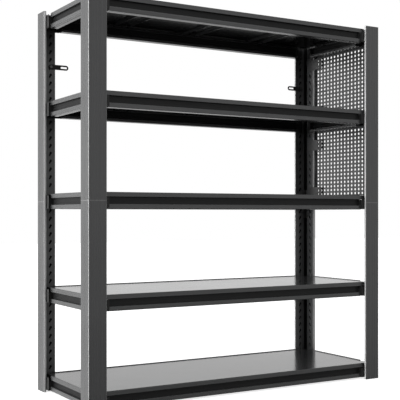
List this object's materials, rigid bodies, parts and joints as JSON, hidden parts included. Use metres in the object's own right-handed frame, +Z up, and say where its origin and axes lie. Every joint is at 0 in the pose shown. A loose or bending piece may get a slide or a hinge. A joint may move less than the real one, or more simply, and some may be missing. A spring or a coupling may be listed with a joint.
{
  "type": "boltless storage rack",
  "caption": "Free-standing steel storage rack with open tiers, lift-out deck panels, slotted folded posts, perforated side panels at one end and wall anchors.",
  "frame": {"origin": "on the floor, under the middle of the rack's outside box", "axes": "+Z up, +X along the rack's long side to the right seen from its open front, the front faces -Y"},
  "size_m": [1.612, 0.608, 1.8],
  "materials": {
    "powder_coat": "satin",
    "deck_steel": "gloss",
    "hook_steel": "satin",
    "black_plastic": "matte",
    "zinc_black": "satin"
  },
  "bodies": {
    "root": {"lower_post_front_left": "powder_coat", "upper_post_front_left": "powder_coat", "post_joint_front_left": "black_plastic", "foot_plug_front_left": "black_plastic", "lower_post_front_right": "powder_coat", "upper_post_front_right": "powder_coat", "post_joint_front_right": "black_plastic", "foot_plug_front_right": "black_plastic", "lower_post_rear_left": "powder_coat", "upper_post_rear_left": "powder_coat", "post_joint_rear_left": "black_plastic", "foot_plug_rear_left": "black_plastic", "lower_post_rear_right": "powder_coat", "upper_post_rear_right": "powder_coat", "post_joint_rear_right": "black_plastic", "foot_plug_rear_right": "black_plastic", "front_beam_1": "powder_coat", "rear_beam_1": "powder_coat", "left_beam_1": "powder_coat", "right_beam_1": "powder_coat", "hook_plates_1": "hook_steel", "front_beam_2": "powder_coat", "rear_beam_2": "powder_coat", "left_beam_2": "powder_coat", "right_beam_2": "powder_coat", "hook_plates_2": "hook_steel", "front_beam_3": "powder_coat", "rear_beam_3": "powder_coat", "left_beam_3": "powder_coat", "right_beam_3": "powder_coat", "hook_plates_3": "hook_steel", "front_beam_4": "powder_coat", "rear_beam_4": "powder_coat", "left_beam_4": "powder_coat", "right_beam_4": "powder_coat", "hook_plates_4": "hook_steel", "front_beam_5": "powder_coat", "rear_beam_5": "powder_coat", "left_beam_5": "powder_coat", "right_beam_5": "powder_coat", "hook_plates_5": "hook_steel", "lower_side_panel": "powder_coat", "lower_panel_clips": "hook_steel", "upper_side_panel": "powder_coat", "upper_panel_clips": "hook_steel", "wall_anchor_bolts": "zinc_black", "wall_anchor_nuts": "zinc_black"},
    "deck_1": {"deck_panel_1": "deck_steel", "deck_channels_1": "deck_steel"},
    "deck_2": {"deck_panel_2": "deck_steel", "deck_channels_2": "deck_steel"},
    "deck_3": {"deck_panel_3": "deck_steel", "deck_channels_3": "deck_steel"},
    "deck_4": {"deck_panel_4": "deck_steel", "deck_channels_4": "deck_steel"},
    "deck_5": {"deck_panel_5": "deck_steel", "deck_channels_5": "deck_steel"},
    "anchor_left": {"wall_anchor_left": "hook_steel"},
    "anchor_right": {"wall_anchor_right": "hook_steel"}
  },
  "joints": [
    {"name": "deck_1_lift", "type": "slide", "parent": "root", "child": "deck_1", "axis": [0, 0, 1], "range_m": [0, 0.08]},
    {"name": "deck_2_lift", "type": "slide", "parent": "root", "child": "deck_2", "axis": [0, 0, 1], "range_m": [0, 0.08]},
    {"name": "deck_3_lift", "type": "slide", "parent": "root", "child": "deck_3", "axis": [0, 0, 1], "range_m": [0, 0.08]},
    {"name": "deck_4_lift", "type": "slide", "parent": "root", "child": "deck_4", "axis": [0, 0, 1], "range_m": [0, 0.08]},
    {"name": "deck_5_lift", "type": "slide", "parent": "root", "child": "deck_5", "axis": [0, 0, 1], "range_m": [0, 0.08]},
    {"name": "anchor_left_swivel", "type": "hinge", "parent": "root", "child": "anchor_left", "pos_m": [-0.744, 0.291, 1.5508], "axis": [0, -1, 0], "range_deg": [-80, 80]},
    {"name": "anchor_right_swivel", "type": "hinge", "parent": "root", "child": "anchor_right", "pos_m": [0.756, 0.291, 1.5508], "axis": [0, -1, 0], "range_deg": [-80, 80]}
  ]
}
